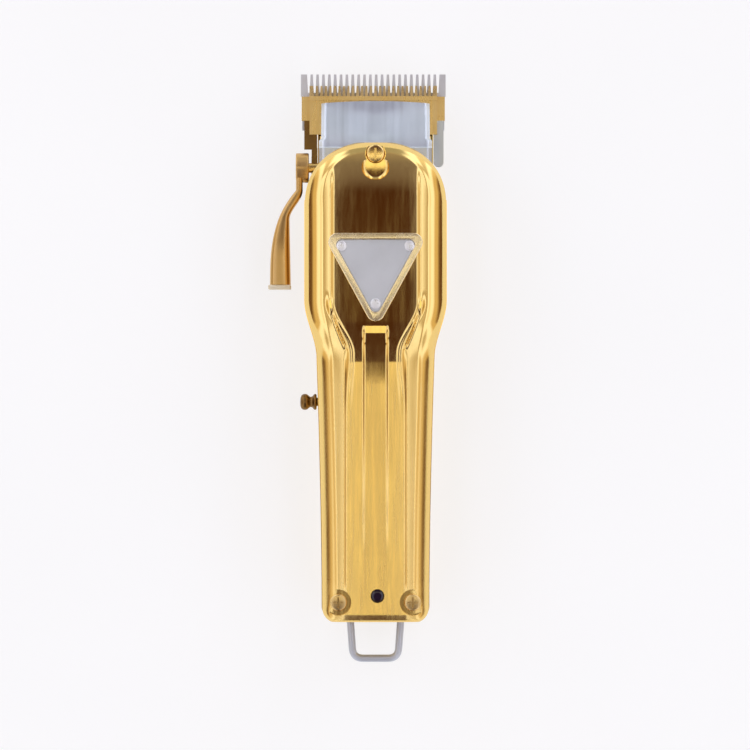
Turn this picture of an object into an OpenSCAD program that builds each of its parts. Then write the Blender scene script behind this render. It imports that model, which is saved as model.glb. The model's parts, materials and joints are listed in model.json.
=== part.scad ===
// Cordless hair clipper lying on its back: +Y points to the blades, +Z out of the lid.
// The origin is on the flat underside, below the middle of the housing.

/* [Housing] */
// Half-width of the head
head_hw = 22.1; // [21.6:0.1:22.4]
// Half-width of the handle just below the waist
waist_hw = 18.3; // [17.8:0.1:18.8]
// Half-width of the handle at its tail
tail_hw = 16.7; // [16.2:0.1:17.2]
// Furthest point of the housing towards the blades
nose_y = 79.64; // [79.4:0.1:80]
// Tail face of the housing
tail_y = -68.4; // [-69:0.1:-68]
// Height of the parting plane between base and lid
split_z = 20; // [19.8:0.1:20.2]
// Top of the lid over the head
head_z = 40.6; // [40.4:0.1:40.8]
// Top of the lid in the valley behind the head
valley_z = 34.6; // [34:0.1:35.2]
// Rise of the handle from that valley to the tail
handle_rise = 4.6; // [4.2:0.1:4.8]
// Wall thickness of base and lid
wall = 2; // [1.8:0.1:2.2]

/* [Blades] */
// Sideways set of the blade pair from the middle of the housing
blade_x = -0.7; // [-0.8:0.1:0]
// Width of the comb blade
comb_w = 45.1; // [44:0.1:45.4]
// Tips of the comb blade's teeth
comb_tip_y = 101.4; // [100.8:0.1:101.6]
// Gaps between the comb blade's teeth
comb_gaps = 23; // [20:1:24]
// Width of the cutter
cutter_w = 39.7; // [39:0.1:40]
// Tips of the cutter's teeth
cutter_tip_y = 97.8; // [97.5:0.1:98]
// Gaps between the cutter's teeth
cutter_gaps = 27; // [24:1:28]

/* [Drive] */
// Radius of the motor can
motor_r = 12.2; // [11.8:0.1:12.4]
// Length of the motor can
motor_len = 31; // [29:0.5:32]
// Height of the motor's axis
motor_z = 19; // [18.8:0.1:19.2]
// Radius of the battery cell
cell_r = 9.2; // [9:0.1:9.3]
// Length of the battery cell
cell_len = 65; // [60:1:66]

/* [Controls] */
// Distance of the taper lever's pivot from the origin
lever_y = 72; // [71.8:0.1:72.2]
// Height of the taper lever's pivot
lever_z = 18; // [17.9:0.1:18.1]
// Eccentricity of the pin that shifts the comb blade
lever_ecc = 2.8; // [2.6:0.1:2.8]
// Place of the switch knob along the handle when it is off
knob_y = -0.6; // [-2:0.1:1]
// Travel of the switch knob
knob_travel = 4; // [3:0.1:4]
// Wire radius of the hanging loop
loop_r = 1.15; // [1:0.05:1.15]
// Outer end of the hanging loop
loop_end_y = -81.4; // [-82:0.1:-80]

/* [Hidden] */
$fn = 48;

gold = [0.83, 0.66, 0.30];
dark_gold = [0.55, 0.40, 0.16];
steel = [0.75, 0.76, 0.78];
nickel = [0.62, 0.62, 0.65];
black = [0.10, 0.10, 0.11];
white = [0.90, 0.90, 0.88];

// Running clearance on a radius, and the gap left between parts that pass each other
fit = 0.05;
gap = 0.3;
// Overlap that keeps a cut or a joint free of coincident faces
lap = 0.5;

// Blade stack, from the bed upwards
bed_z = 9.15;
comb_z0 = 9.3;
tongue_z = 10.3;
comb_z1 = 11.6;
cutter_z0 = 11.75;
cutter_z1 = 13.6;
comb_root_y = 94.5;
comb_back_y = 84;
carrier_back_y = 87;
arm_back_y = 72.5;
cutter_root_y = 94.5;
cutter_back_y = 82.6;
bed_front_y = 93;
spring_x0 = 10.5;
spring_x1 = 12.7;

// Nose plate
nose_hw = 16.8;
nose_step_hw = 17.5;
nose_step_y = 80.6;
nose_front_y = 92.9;
nose_back_y = 66;
sheet = 1.2;

// Housing stations
valley_y = 12;
fall_y = 58;
nose_fall = 9.5;
plateau_tilt = 0.042;
shoulder_y = 60;
plan_power = 2.2;
tail_corner = 4.6;
tail_round = 5;
tip_hw = 3.5;

// Fastenings
top_screw_y = 75.7;
dish_y = 71.6;
top_seat_z = 33.9;
dish_z = 36.6;
dish_r = 4.4;
tail_seat_z = 37.1;
seat_pad_z = 31;
tail_screw_x = 11.4;
tail_screw_y = -62;
lens_pos = [0.6, -60];
badge_holes = [[-10.4, 47.3], [10.4, 47.3], [0, 29.6]];
badge_seat_z = 38.6;
badge_floor_z = 39.6;
badge_top_z = 41.2;
motor_front_y = 58;
bracket_y = 59.6;
loop_pivot = [8.0, -66, 16.5];
socket_z = 7.2;
switch_z = 17;
board_z = 28.5;

// ---------- shape functions ----------
function clamp01(t) = min(1, max(0, t));
function smooth(t) = let(s = clamp01(t)) s * s * (3 - 2 * s);

// Half-width of the housing in plan, for a shell set in by d
function plan_hw(y, d) =
    y > shoulder_y ? let(t = pow((y - shoulder_y) / (nose_len() - d), plan_power))
        (head_hw - d) * pow(max(0, 1 - t), 1 / plan_power)
    : y > 13 ? waist_hw + (head_hw - waist_hw) * smooth((y - 13) / 18) - d
    : y > tail_y + d + tail_corner ? handle_hw(y) - d
    : handle_hw(y) - d - tail_corner
        + sqrt(max(0, pow(tail_corner, 2) - pow(tail_y + d + tail_corner - y, 2)));
function nose_len() =
    (nose_y - shoulder_y) / pow(1 - pow(tip_hw / head_hw, plan_power), 1 / plan_power);
function handle_hw(y) = tail_hw + (waist_hw - tail_hw) * pow(max(0, (y + 62) / 75), 1.6);

// Height of the lid's crown along the middle
function crown_z(y) =
    y > tail_y + tail_round ? crown_line(y)
    : crown_line(y) - tail_round + sqrt(max(0, pow(tail_round, 2) - pow(tail_y + tail_round - y, 2)));
function crown_line(y) = valley_z
    + handle_rise * pow(clamp01((valley_y - y) / (valley_y - tail_y)), 1.5)
    + (head_z - valley_z - plateau_tilt * (fall_y - valley_y)) * smooth((y - valley_y) / 14)
    + plateau_tilt * max(0, y - valley_y)
    - nose_fall * pow(clamp01((y - fall_y) / (nose_y - fall_y)), 2.8);

// Height of the base's underside along the middle
function keel_z(y) =
    y > 50 ? 6 * pow((y - 50) / (nose_y - 50), 1.5)
    : y > tail_y + tail_round ? 0
    : tail_round - sqrt(max(0, pow(tail_round, 2) - pow(tail_y + tail_round - y, 2)));

// Stations along the housing, closer together where it curves
function stations(d) = concat(
    [for (a = [0 : 18 : 90]) tail_y + d + tail_corner * (1 - cos(a))],
    [-40, -20, 0],
    [for (y = [10 : 4 : 34]) y],
    [50],
    [for (a = [0 : 12 : 72]) shoulder_y + (nose_y - d - shoulder_y) * sin(a)],
    [nose_y - d]);

// Shoulder section of a half shell: half-width w, side up to h1, flat top of half-width w1 at h2
module shoulder(y0, y1, w, h1, w1, h2) {
    wm = (w + w1) / 2 + 0.18 * (w - w1);
    hm = (h1 + h2) / 2 + 0.18 * (h2 - h1);
    translate([0, y1, 0]) rotate([90, 0, 0]) linear_extrude(y1 - y0)
        polygon([[-w, -1], [w, -1], [w, h1], [wm, hm], [w1, h2], [-w1, h2], [-wm, hm], [-w, h1]]);
}

// Plan outline of the housing, set in by d
module plan(d) polygon(concat(
    [for (y = stations(d)) [plan_hw(y, d), y]],
    [for (k = [len(stations(d)) - 1 : -1 : 0]) let(y = stations(d)[k]) [-plan_hw(y, d), y]]));

// Solid bodies of the lid and of the base, set in by d, from or up to a height
module lid_solid(d, low) intersection() {
    slab(low, 50) plan(d);
    side_slab(-30, 30) polygon(concat([[tail_y, low - 1]],
        [for (y = stations(d)) [y, crown_z(max(y - d * 0.5, tail_y + d * 0.5)) - d]], [[nose_y, low - 1]]));
    union() {
        shoulder(tail_y - 1, 14, 18.6 - d, 30.5 - d * 0.4, 13.4 - d * 0.6, 39.4 - d);
        shoulder(14 - lap, 82, 22.4 - d, 32 - d * 0.4, 14.6 - d * 0.6, head_z + 0.6 - d);
    }
}
module base_solid(d, high) intersection() {
    slab(-1, high) plan(d);
    side_slab(-30, 30) polygon(concat([[tail_y, high + 1]],
        [for (y = stations(d)) [y, keel_z(max(y - d * 0.5, tail_y + d * 0.5)) + d]], [[nose_y, high + 1]]));
    mirror([0, 0, 1]) translate([0, 0, -split_z]) union() {
        shoulder(tail_y - 1, 14, 18.6 - d, 12 - d * 0.4, 12 - d * 0.6, split_z - d);
        shoulder(14 - lap, 82, 22.4 - d, 11 - d * 0.4, 14 - d * 0.6, split_z - d);
    }
}

// Closed loft through rings of equal length
module loft(rings) {
    n = len(rings);
    m = len(rings[0]);
    polyhedron([for (r = rings) each r], concat(
        [for (j = [0 : n - 2], i = [0 : m - 1])
            let(a = j * m + i, b = j * m + (i + 1) % m, c = a + m, e = b + m)
            each [[a, b, e], [a, e, c]]],
        [[for (i = [m - 1 : -1 : 0]) i], [for (i = [0 : m - 1]) (n - 1) * m + i]]));
}

// Corner of an outline rounded to radius r: p is the corner, a and b its neighbours
function round_corner(a, p, b, r) =
    let(u = (a - p) / norm(a - p), v = (b - p) / norm(b - p),
        half = acos(u * v) / 2,
        c = p + (u + v) / norm(u + v) * r / sin(half),
        s = p + u * r / tan(half) - c,
        turn = (180 - 2 * half) * sign(s[0] * (p - c)[1] - s[1] * (p - c)[0]))
    [for (k = [0 : 6]) let(t = turn * k / 6)
        c + [s[0] * cos(t) - s[1] * sin(t), s[0] * sin(t) + s[1] * cos(t)]];
function round_outline(pts, r) = let(n = len(pts))
    [for (i = [0 : n - 1]) each round_corner(pts[(i + n - 1) % n], pts[i], pts[(i + 1) % n], r)];

// Badge outline, set in by d all round. A corner moves d / sin(half its angle) towards the centre.
badge_corners = [[-16.4, 51.2], [16.4, 51.2], [0, 21.2]];
badge_centre = [0, 41.475];
badge_tip_move = 2.085;
badge_top_move = 1.96;
function badge_outline(d, r) = round_outline(
    [for (p = badge_corners) let(out = p - badge_centre)
        p - out / norm(out) * d * (p[0] == 0 ? badge_tip_move : badge_top_move)], r);

// Toothed edge: n gaps over width w, from root_y to tip_y
module comb_edge(w, gaps, corner, root_y, tip_y, depth_y, tooth_share) {
    pitch = (w - 2 * corner) / gaps;
    slot = pitch * (1 - tooth_share);
    difference() {
        translate([-w / 2, root_y]) square([w, tip_y - root_y]);
        for (i = [0 : gaps - 1]) {
            x = -w / 2 + corner + (i + 0.5) * pitch;
            polygon([[x - slot * 0.32, depth_y], [x + slot * 0.32, depth_y],
                [x + slot * 0.68, tip_y + lap], [x - slot * 0.68, tip_y + lap]]);
        }
    }
}

// Slab of an XY outline between two heights
module slab(z0, z1) { translate([0, 0, z0]) linear_extrude(z1 - z0) children(); }
// Slab of a YZ outline between x0 and x1
module side_slab(x0, x1) {
    translate([x0, 0, 0]) rotate([90, 0, 90]) linear_extrude(x1 - x0) children();
}
// Cylinders along each axis between two places
module rod_x(x0, x1, y, z, r) { translate([x0, y, z]) rotate([0, 90, 0]) cylinder(h = x1 - x0, r = r); }
module rod_y(y0, y1, x, z, r) { translate([x, y0, z]) rotate([-90, 0, 0]) cylinder(h = y1 - y0, r = r); }
module rod_z(z0, z1, x, y, r) { translate([x, y, z0]) cylinder(h = z1 - z0, r = r); }
module box(a, b) { translate(a) cube(b - a); }

// Cross-head screw along Z: head on top at z_top, shank down to z_end
module pan_screw(x, y, z_top, head_r, head_h, shank_r, z_end) {
    difference() {
        union() {
            rod_z(z_top - head_h, z_top, x, y, head_r);
            rod_z(z_end, z_top - head_h + lap, x, y, shank_r);
        }
        for (a = [0, 90]) translate([x, y, z_top - head_h * 0.55]) rotate([0, 0, a])
            box([-head_r * 0.62, -head_r * 0.14, 0], [head_r * 0.62, head_r * 0.14, head_h]);
    }
}

// ---------- housing ----------
module base_shell() color(gold) difference() {
    union() {
        difference() {
            base_solid(0, split_z);
            base_solid(wall, split_z + 1);
            // Throat for the blade set
            box([-30, 62, bed_z], [30, 100, split_z + 1]);
            // Pocket for the hanging loop
            box([-9.5, tail_y - 1, 12.5], [9.5, tail_y + wall + 0.2, split_z + 1]);
        }
        // Blade bed
        side_slab(-18, 18) polygon([[66, 4.5], [nose_y - 1, 6.4], [90, 7.6], [bed_front_y, 8.4],
            [bed_front_y, bed_z], [66, bed_z]]);
        // Post for the taper lever's pivot
        box([-15.9, lever_y - 4, bed_z - lap], [-12.9, lever_y + 4, lever_z + 4]);
        // Pocket back wall and the cheeks that hold the loop's ends
        box([-13.6, -63.9, 3], [13.6, -62.6, split_z]);
        for (s = [-1, 1]) {
            box([s > 0 ? 9.5 : -13.6, -67.2, 12.5], [s > 0 ? 13.6 : -9.5, -63.5, split_z]);
            rod_z(1.5, split_z, s * tail_screw_x, tail_screw_y, 2.9);
        }
        box([-9.6, -67.2, 11.3], [9.6, -63.5, 12.5]);
    }
    for (s = [-1, 1]) {
        // Loop ends
        rod_x(s > 0 ? 9 : -12.9, s > 0 ? 12.9 : -9, loop_pivot[1], loop_pivot[2], loop_r + fit);
        // Lid screws
        rod_z(8, split_z + 1, s * tail_screw_x, tail_screw_y, 1.1);
        // Tension spring screws
        rod_z(6, bed_z + 1, s * 6, 68.5, 0.9);
    }
    // Lever pivot thread
    rod_x(-17, -12, lever_y, lever_z, 1.5);
    // Charging socket
    rod_y(tail_y - 1, -62, 0, socket_z, 3.6 + fit);
    // Slot for the switch knob
    box([-19, knob_y - 1.45, switch_z - 1.45], [-14.5, knob_y + knob_travel + 1.45, switch_z + 1.45]);
}

module lid() color(gold) difference() {
    union() {
        difference() {
            lid_solid(0, split_z);
            lid_solid(wall, split_z - 1);
            // Opening over the nose plate
            box([-nose_step_hw - gap, 62, split_z - 1], [nose_step_hw + gap, 90, 25.6]);
            // Pocket for the hanging loop
            box([-9.5, tail_y - 1, split_z - 1], [9.5, tail_y + wall + 0.2, split_z + 1.2]);
        }
        // Seat behind the badge
        slab(36.4, badge_seat_z + 0.3) polygon(badge_outline(0.6, 2.6));
        // Screw bosses, and thicker spots under the screw seats
        for (s = [-1, 1]) rod_z(split_z, 34.4, s * tail_screw_x, tail_screw_y, 2.9);
        rod_z(25.6, 32.4, 0, top_screw_y, 2.6);
        intersection() {
            lid_solid(0, seat_pad_z - 1);
            union() {
                rod_z(seat_pad_z, 45, 0, 73.5, 7.5);
                for (s = [-1, 1]) rod_z(seat_pad_z + 3, 45, s * tail_screw_x, tail_screw_y, 5);
            }
        }
    }
    // Badge pocket
    slab(badge_seat_z, head_z + 3) polygon(badge_outline(-0.05, 2.85));
    for (s = [-1, 1]) {
        rod_z(split_z - 1, 45, s * tail_screw_x, tail_screw_y, 1.25);
        rod_z(tail_seat_z, 45, s * tail_screw_x, tail_screw_y, 4);
    }
    // Top screw and the dish behind it
    rod_z(split_z, 45, 0, top_screw_y, 1.3);
    rod_z(top_seat_z, 45, 0, top_screw_y, 3.2);
    rod_z(dish_z, 45, 0, dish_y, dish_r);
    // Indicator window
    rod_z(split_z, 45, lens_pos[0], lens_pos[1], 2.1);
    for (p = badge_holes) rod_z(34, 45, p[0], p[1], 0.8);
}

// Folded cover over the blade drive, scooped towards the blades
function scoop_z(y) = 15.6 + 9.4 * pow(smooth((nose_front_y + 4 - y) / 21), 1.15);
module nose_profile(t) polygon(concat(
    [for (y = [nose_front_y : -1.64 : 78]) [y, scoop_z(y)]], [[nose_back_y, 25.1]],
    [[nose_back_y, 25.1 - t]], [for (y = [78.14 : 1.64 : nose_front_y]) [y, scoop_z(y) - t]]));
module nose_skirt(x0, x1, y0, y1) intersection() {
    side_slab(x0, x1) polygon(concat([for (y = [nose_front_y : -1.64 : 78]) [y, scoop_z(y)]],
        [[nose_back_y, 25.1], [nose_back_y, 14.6], [nose_front_y, 14.6]]));
    box([x0, y0, 0], [x1, y1, 30]);
}
module nose_plate() color(steel) difference() {
    union() {
        intersection() {
            side_slab(-nose_step_hw, nose_step_hw) nose_profile(sheet);
            union() {
                box([-nose_step_hw, nose_back_y - 1, 0], [nose_step_hw, nose_step_y, 40]);
                box([-nose_hw, nose_step_y, 0], [nose_hw, nose_front_y + 1, 40]);
            }
        }
        for (s = [-1, 1]) {
            nose_skirt(s > 0 ? nose_step_hw - sheet : -nose_step_hw,
                s > 0 ? nose_step_hw : sheet - nose_step_hw, nose_back_y, nose_step_y);
            nose_skirt(s > 0 ? nose_hw - sheet : -nose_hw, s > 0 ? nose_hw : sheet - nose_hw,
                nose_step_y - lap, nose_front_y);
        }
        // Threaded boss for the top lid screw
        rod_z(18.5, 24.6, 0, top_screw_y, 2.8);
    }
    rod_z(17, 30, 0, top_screw_y, 1.1);
    // Way through for the taper lever's pivot
    rod_x(-18, -14, lever_y, lever_z, 1.9);
}

module badge_frame() color(gold) difference() {
    slab(badge_seat_z, badge_top_z) polygon(badge_outline(0, 2.8));
    slab(badge_floor_z, badge_top_z + 1) polygon(badge_outline(1.5, 1.8));
    for (p = badge_holes) rod_z(34, 45, p[0], p[1], 0.8);
}

module badge_plate() color(nickel) difference() {
    slab(badge_floor_z, 40.7) polygon(badge_outline(1.55, 1.75));
    for (p = badge_holes) rod_z(34, 45, p[0], p[1], 0.8);
}

module badge_screws() color(steel)
    for (p = badge_holes) pan_screw(p[0], p[1], 41.3, 1.7, 0.6, 0.75, 36.8);

module lid_screw_top() color(gold) pan_screw(0, top_screw_y, top_seat_z + 1.6, 2.9, 1.6, 1.1, 19);

module lid_screws_tail() color(gold)
    for (s = [-1, 1]) pan_screw(s * tail_screw_x, tail_screw_y, tail_seat_z + 1.5, 2.6, 1.5, 1.1, 9);

module indicator_lens() color(black) rod_z(34.8, 37.7, lens_pos[0], lens_pos[1], 2.1 - fit);

module indicator_led() color(white) rod_z(board_z + 1.6, 34.5, lens_pos[0], lens_pos[1], 1.5);

module circuit_board() color([0.05, 0.35, 0.18]) union() {
    box([-7.6, -62.2, board_z], [7.6, -12, board_z + 1.6]);
    box([-4.5, -40, board_z + 1], [4.5, -31, board_z + 2.9]);
    box([-6, -26, board_z + 1], [-1, -20, board_z + 3.2]);
    box([2, -24, board_z + 1], [6, -18, board_z + 2.7]);
}

module charge_socket() color(black) difference() {
    rod_y(tail_y + 0.1, -57, 0, socket_z, 3.6);
    rod_y(tail_y - 1, -58.5, 0, socket_z, 1.8);
}

module battery_cell() color([0.16, 0.32, 0.52]) union() {
    rod_y(-49, -49 + cell_len, 0, 13, cell_r);
    rod_y(-49 + cell_len - lap, -49 + cell_len + 1.2, 0, 13, 3);
}

module battery_cradle() color(black) difference() {
    rod_y(-45, 12, 0, 13, cell_r + 1.55);
    rod_y(-46, 13, 0, 13, cell_r + fit);
    box([-12, -46, 13], [12, 13, 26]);
}

module battery_straps() color(white)
    for (y = [-38, 2]) difference() {
        rod_y(y, y + 4, 0, 13, cell_r + 1.2);
        rod_y(y - 1, y + 5, 0, 13, cell_r + fit);
        box([-12, y - 1, 0], [12, y + 5, 13 + fit]);
    }

module motor_can() color(nickel) union() {
    rod_y(motor_front_y - motor_len, motor_front_y, 0, motor_z, motor_r);
    rod_y(motor_front_y - lap, bracket_y + 1, 0, motor_z, 3);
}

module motor_end_cap() color(black) union() {
    rod_y(motor_front_y - motor_len - 2.4, motor_front_y - motor_len, 0, motor_z, motor_r - 0.4);
    for (s = [-1, 1]) box([s * 7 - 1.2, 21.5, motor_z - 0.3], [s * 7 + 1.2, 25, motor_z + 0.3]);
}

module motor_bracket() color(white) difference() {
    box([-14, bracket_y - 1.6, 5.4], [14, bracket_y + 1.9, 33]);
    rod_y(bracket_y - 2, bracket_y + 3, 0, motor_z, 3 + fit);
    for (s = [-1, 1]) rod_y(bracket_y - 2, bracket_y + 3, s * 8, motor_z, 1.1);
}

module motor_screws() color(steel)
    for (s = [-1, 1]) {
        rod_y(bracket_y - 1.6, bracket_y + 1.9, s * 8, motor_z, 1.05);
        rod_y(bracket_y + 1.9, bracket_y + 3.1, s * 8, motor_z, 1.9);
    }

module motor_sleeve() color(black) difference() {
    rod_y(33, 47, 0, motor_z, motor_r + 1.3);
    rod_y(32, 48, 0, motor_z, motor_r + fit);
}

// Supply wires from the board to the motor's terminals
function wire(s) = [for (k = [0 : 12]) let(t = k / 12)
    [s * (3 + 4 * t), -13 + 34.4 * t, board_z - 0.6 - 8.9 * smooth((t - 0.55) / 0.45)]];
module tube(path, r, sides) {
    n = len(path);
    loft([for (k = [0 : n - 1])
        let(d = path[min(n - 1, k + 1)] - path[max(0, k - 1)], u = d / norm(d),
            side = cross(u, [0, 0, 1]), v = side / norm(side), w = cross(v, u))
        [for (i = [0 : sides - 1]) path[k] + r * (cos(360 * i / sides) * v + sin(360 * i / sides) * w)]]);
}
module motor_leads() color([0.7, 0.1, 0.08]) for (s = [-1, 1]) tube(wire(s), 0.55, 8);

// Flat spring that keeps the cutter on the comb blade
module tension_spring() color(steel) difference() {
    union() {
        box([-spring_x0 - lap, 65.5, bed_z], [spring_x0 + lap, 70.5, bed_z + 0.7]);
        for (s = [-1, 1]) side_slab(s > 0 ? spring_x0 : -spring_x1, s > 0 ? spring_x1 : -spring_x0)
            polygon([[65.5, bed_z], [70.5, bed_z], [76, 14.4], [82.6, 14.4], [84.2, 13.75], [84.8, 14.4],
                [83, 15.1], [75.6, 15.1], [70, bed_z + 0.7], [65.5, bed_z + 0.7]]);
    }
    for (s = [-1, 1]) rod_z(bed_z - 1, bed_z + 2, s * 6, 68.5, 0.95);
}

module spring_screws() color(steel)
    for (s = [-1, 1]) pan_screw(s * 6, 68.5, bed_z + 1.7, 1.7, 1, 0.9, 6.5);

module lever_pivot_screw() color(gold) difference() {
    union() {
        rod_x(hub_x0 + 0.05, hub_seat_x - 0.25, lever_y, lever_z, 2.8);
        rod_x(hub_seat_x - 0.3, -13.2, lever_y, lever_z, 1.5);
    }
    box([hub_x0 - 1, lever_y - 2, lever_z - 0.4], [hub_x0 + 0.45, lever_y + 2, lever_z + 0.4]);
}

module switch_body() color(black) difference() {
    box([-14.3, knob_y - 5.5, 13.6], [-11, knob_y + knob_travel + 5, 20.4]);
    box([-15, knob_y - 1.2, switch_z - 1.2], [-12.4, knob_y + knob_travel + 1.2, switch_z + 1.2]);
}

// ---------- comb blade group ----------
module comb_blade() color(steel) translate([blade_x, 0, 0]) difference() {
    union() {
        slab(comb_z0, comb_z1)
            comb_edge(comb_w, comb_gaps, 1.55, comb_root_y, comb_tip_y, comb_root_y + 1.2, 0.55);
        slab(comb_z0, tongue_z) translate([-comb_w / 2 + 0.4, comb_back_y])
            square([comb_w - 0.8, comb_root_y - comb_back_y + lap]);
    }
    // Underside of the teeth ground away towards the tips
    side_slab(-comb_w, comb_w) polygon([[comb_root_y + 1, comb_z0 - 1], [comb_tip_y + 1, comb_z0 - 1],
        [comb_tip_y + 1, comb_z1 - 0.35], [comb_root_y + 1, comb_z0]]);
    for (s = [-1, 1]) rod_z(8, 12, s * 14, 88.5, 1.25);
}

module comb_carrier() color(gold) translate([blade_x, 0, 0]) difference() {
    slab(tongue_z, comb_z1) translate([-22.3, carrier_back_y]) square([44.6, comb_root_y - carrier_back_y]);
    for (s = [-1, 1]) rod_z(8, 12, s * 14, 88.5, 1.25);
}

module comb_screws() color(steel)
    for (s = [-1, 1]) difference() {
        rod_z(comb_z0, comb_z1, blade_x + s * 14, 88.5, 1.25);
        box([blade_x + s * 14 - 1, 88.3, comb_z0 - 1], [blade_x + s * 14 + 1, 88.7, comb_z0 + 0.6]);
    }

module carrier_arm() color(steel) translate([blade_x, 0, 0]) slab(tongue_z, comb_z1) union() {
    translate([18.8, arm_back_y + 1.5]) square([3.1, carrier_back_y - arm_back_y - 1.5]);
    translate([20.35, arm_back_y + 1.55]) circle(r = 1.55);
}

// Link with an open fork that the lever's eccentric pin works in
module lever_link() color(dark_gold) union() {
    box([-22.2, 78, tongue_z], [-18.2, carrier_back_y, comb_z1]);
    difference() {
        box([-19.9, lever_y - 3.6, tongue_z], [-18.1, 78 + lap, 16.25]);
        box([-21, lever_y - 1.1, 13.9], [-17, lever_y + 1.1, 17]);
        box([-21, lever_y + 3.6, 13], [-17, 80, 17]);
    }
}

// ---------- cutter group ----------
module cutter_blade() color(gold) translate([blade_x, 0, 0]) difference() {
    union() {
        slab(cutter_z0, cutter_z1)
            comb_edge(cutter_w, cutter_gaps, 0.9, cutter_back_y, cutter_tip_y, cutter_root_y, 0.52);
        slab(cutter_z0, cutter_z1) translate([-8.4, 74]) square([16.8, cutter_back_y - 74 + lap]);
        box([-cutter_w / 2, 93.15, cutter_z1 - lap], [cutter_w / 2, 94.5, 14.5]);
    }
    side_slab(-cutter_w, cutter_w) polygon([[cutter_root_y, 15], [cutter_root_y, cutter_z1],
        [cutter_tip_y, cutter_z0 + 0.5], [cutter_tip_y + 1, cutter_z0 + 0.3], [cutter_tip_y + 1, 15]]);
    for (s = [-1, 1]) rod_z(11, 14, s * 5.5, 77.5, 0.9);
}

module drive_follower() color(white) translate([blade_x, 0, 0]) difference() {
    union() {
        box([-8, 74, cutter_z1], [8, 80.5, 15.3]);
        box([-8, 69.8, cutter_z1], [8, 74 + lap, 15.3]);
        for (s = [-1, 1]) box([s > 0 ? 4.3 : -7.4, 69.8, 15.3 - lap], [s > 0 ? 7.4 : -4.3, 72.8, 22.6]);
    }
    for (s = [-1, 1]) rod_z(11, 16, s * 5.5, 77.5, 0.9);
}

module follower_screws() color(steel) translate([blade_x, 0, 0])
    for (s = [-1, 1]) union() {
        rod_z(cutter_z0 + 0.1, 15.3, s * 5.5, 77.5, 0.88);
        rod_z(15.3, 16.2, s * 5.5, 77.5, 1.6);
    }

// ---------- taper lever ----------
hub_x0 = -24.7;
hub_x1 = -20.7;
hub_seat_x = -23.4;
function lever_out(y) = -24.7 - 8.3 * (1 - pow(clamp01((y - 35.7) / 29.3), 3));
function lever_in(y) = -22.6 - 4.1 * smooth((65 - y) / 9) + 0.4 * clamp01((56 - y) / 20);
function lever_half(y) = 3.5 + 1.9 * smooth((66 - y) / 22);
module taper_lever() color(dark_gold) difference() {
    union() {
        loft([for (y = concat([35.7, 41, 47, 52], [for (k = [56 : 1.8 : 65]) k], [67.5, 70]))
            let(a = lever_in(min(y, 65)), b = lever_out(min(y, 65)), c = (a + b) / 2, w = (a - b) / 2)
            [for (i = [0 : 15]) let(t = 22.5 * i + 11.25, cx = cos(t), cz = sin(t))
                [c + w * sign(cx) * pow(abs(cx), 0.55), y,
                    lever_z + lever_half(y) * sign(cz) * pow(abs(cz), 0.6)]]]);
        rod_x(hub_x0, hub_x1, lever_y, lever_z, 4.6);
    }
    rod_x(-26, -19, lever_y, lever_z, 1.5 + fit);
    rod_x(-26, hub_seat_x, lever_y, lever_z, 2.95);
    rod_x(-22.6, -19, lever_y, lever_z - lever_ecc, 1);
}

module lever_tip() color([0.93, 0.88, 0.74]) side_slab(-33.25, -26.2)
    polygon(round_outline([[34.2, lever_z - 5.5], [35.7, lever_z - 5.5],
        [35.7, lever_z + 5.5], [34.2, lever_z + 5.5]], 0.6));

module eccentric_pin() color(steel) rod_x(-22.6, -18.15, lever_y, lever_z - lever_ecc, 1);

module lever_washer() color(black) difference() {
    rod_x(hub_seat_x - 0.2, hub_seat_x, lever_y, lever_z, 2.7);
    rod_x(hub_seat_x - 1, hub_seat_x + 1, lever_y, lever_z, 1.5 + fit);
}

// ---------- rotor ----------
cam_y0 = 62.6;
cam_y1 = 66.4;
crank_ecc = 1.2;
module motor_shaft() color(steel) rod_y(bracket_y + 1.2, cam_y0 + 1.8, 0, motor_z, 1);

module eccentric_cam() color(white) difference() {
    rod_y(cam_y0, cam_y1, 0, motor_z, 3.4);
    rod_y(cam_y0 - 1, cam_y0 + 1.8, 0, motor_z, 1);
    rod_y(cam_y0 + 2, cam_y1 + 1, 0, motor_z + crank_ecc, 1);
}

module crank_pin() color(steel) rod_y(cam_y0 + 2, 72.6, 0, motor_z + crank_ecc, 1);

// ---------- switch ----------
module switch_knob() color(gold) translate([0, knob_y, switch_z]) rotate([0, -90, 0])
    rotate_extrude() polygon([[0, 15.6], [1.3, 15.6], [1.3, 18.3], [2.3, 18.3], [2.5, 18.5], [2.5, 19],
        [1.7, 19.6], [1.6, 20.4], [2.2, 20.9], [2.5, 21.4], [2.5, 22.4], [2.1, 23.1], [1.2, 23.4], [0, 23.4]]);

module switch_slider() color(black) union() {
    box([-15.6, knob_y - 4.4, switch_z - 2.6], [-14.9, knob_y + 4.4, switch_z + 2.6]);
    box([-15, knob_y - 0.9, switch_z - 0.9], [-13, knob_y + 0.9, switch_z + 0.9]);
}

// ---------- hanging loop ----------
leg_x = 7.6;
pivot_bend = 1.6;
end_bend = 2.6;
loop_out_x = 12.7;
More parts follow.
